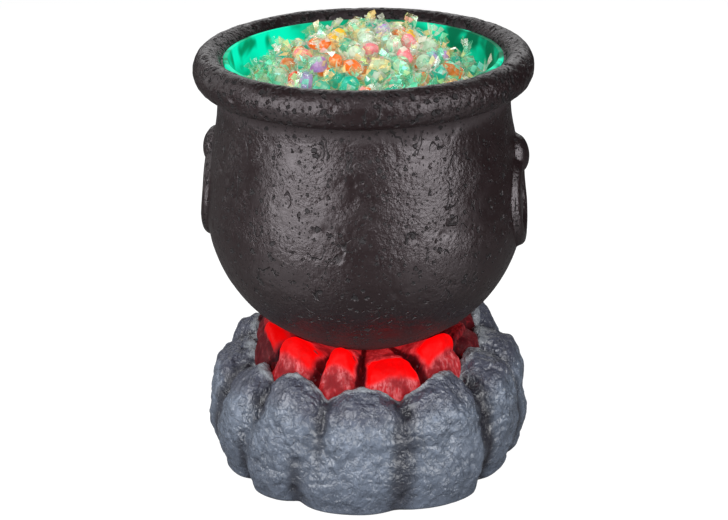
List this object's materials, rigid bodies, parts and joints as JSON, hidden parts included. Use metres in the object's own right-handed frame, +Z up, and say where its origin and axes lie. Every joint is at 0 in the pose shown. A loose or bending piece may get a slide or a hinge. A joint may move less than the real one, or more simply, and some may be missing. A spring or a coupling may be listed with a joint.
{
  "type": "light-up cauldron candy bowl",
  "caption": "Light-up witch's cauldron on a ring of stones with glowing embers, holding a lift-out bowl for wrapped sweets.",
  "frame": {"origin": "on the table, under the centre of the pot", "axes": "+Z up along the pot's axis; +X towards the right handle ring seen from the front; -Y to the front"},
  "size_m": [0.34, 0.3398, 0.438],
  "materials": {
    "cast_black": "satin, moulded to look like pitted cast iron",
    "bowl_green": "translucent, glossy",
    "stone_grey": "dry-brushed paint over moulded stone texture",
    "ember_red": "translucent, glossy in the folds",
    "black_plastic": "fine moulded grain",
    "white_plastic": "smooth moulded",
    "grey_plastic": "smooth moulded",
    "black_rubber": "matt",
    "steel": "zinc plated",
    "circuit_board": "solder mask",
    "green_lamp": "clear epoxy",
    "red_lamp": "clear epoxy",
    "cell_wrap": "printed sleeve, no lettering",
    "switch_black": "fine moulded grain",
    "chip_black": "moulded epoxy",
    "capacitor_blue": "sleeved",
    "connector_ivory": "smooth moulded",
    "wire_red": "PVC sleeve",
    "wire_green": "PVC sleeve"
  },
  "bodies": {
    "cauldron": {"cauldron_pot": "cast_black", "lamp_holder": "white_plastic", "bowl_light_board": "circuit_board", "green_leds": "green_lamp", "bowl_board_screws": "steel", "wire_grommet": "black_rubber", "pot_screws": "steel", "support_column": "grey_plastic", "column_screws": "steel", "stone_ring": "stone_grey", "ember_insert": "ember_red", "inner_frame": "white_plastic", "ember_light_board": "circuit_board", "red_leds": "red_lamp", "ember_board_screws": "steel", "base_plate": "black_plastic", "base_screws": "steel", "rubber_feet": "black_rubber", "battery_1": "cell_wrap", "battery_2": "cell_wrap", "battery_3": "cell_wrap", "battery_springs": "steel", "battery_contacts": "steel", "switch_body": "grey_plastic", "switch_screws": "steel", "control_board": "circuit_board", "control_chip": "chip_black", "board_capacitors": "capacitor_blue", "board_connectors": "connector_ivory", "board_screws": "steel", "battery_wires": "wire_red", "switch_wires": "wire_red", "ember_wires": "wire_red", "bowl_wires": "wire_green"},
    "bowl": {"candy_bowl": "bowl_green"},
    "door": {"battery_door": "black_plastic", "door_screw": "steel"},
    "switch": {"switch_slider": "switch_black"}
  },
  "joints": [
    {"name": "bowl_lift", "type": "slide", "parent": "cauldron", "child": "bowl", "axis": [0, 0, 1], "range_m": [0, 0.13]},
    {"name": "door_hinge", "type": "hinge", "parent": "cauldron", "child": "door", "pos_m": [0, 0.0728, 0.0047], "axis": [-1, 0, 0], "range_deg": [0, 85]},
    {"name": "switch_slide", "type": "slide", "parent": "cauldron", "child": "switch", "axis": [-1, 0, 0], "range_m": [0, 0.004]}
  ]
}
